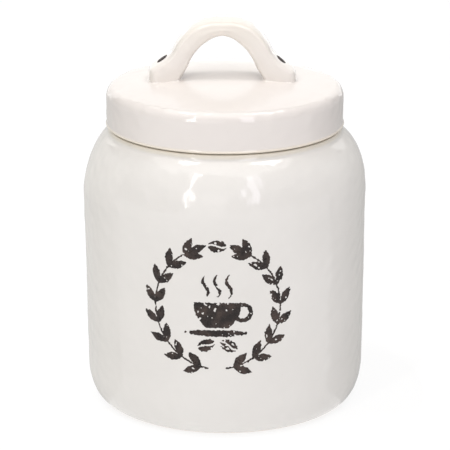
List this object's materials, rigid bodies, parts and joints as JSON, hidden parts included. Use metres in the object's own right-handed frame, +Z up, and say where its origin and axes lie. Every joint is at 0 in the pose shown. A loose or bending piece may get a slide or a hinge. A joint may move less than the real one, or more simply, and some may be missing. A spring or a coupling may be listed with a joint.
{
  "type": "coffee canister",
  "caption": "Round glazed stoneware storage jar with a shouldered body, a sealed cap lid that lifts off by a strap handle, and a printed emblem on its front.",
  "frame": {"origin": "centre of the jar's standing face, on the surface it stands on", "axes": "+Z up along the jar's axis; -Y towards the printed front; X along the handle's strap"},
  "size_m": [0.12, 0.1201, 0.1645],
  "materials": {
    "white_glaze": "glossy warm white glaze, slightly wavy",
    "dark_glaze": "glossy dark brown underglaze mark",
    "silicone": "matt translucent white silicone",
    "print_ink": "worn brown-black fired-on print under the glaze"
  },
  "bodies": {
    "jar": {"jar": "white_glaze", "print_sprig_left": "print_ink", "print_sprig_right": "print_ink", "print_cup": "print_ink", "print_steam": "print_ink", "print_beans": "print_ink"},
    "seal": {"seal_ring": "silicone"},
    "lid": {"lid": "white_glaze", "handle": "white_glaze", "rivet_left": "dark_glaze", "rivet_right": "dark_glaze"}
  },
  "joints": [
    {"name": "lid_lift", "type": "slide", "parent": "jar", "child": "seal", "axis": [0, 0, 1], "range_m": [0, 0.1]},
    {"name": "lid_turn", "type": "hinge", "parent": "seal", "child": "lid", "pos_m": [0, 0, 0.12], "axis": [0, 0, 1], "continuous": true}
  ]
}
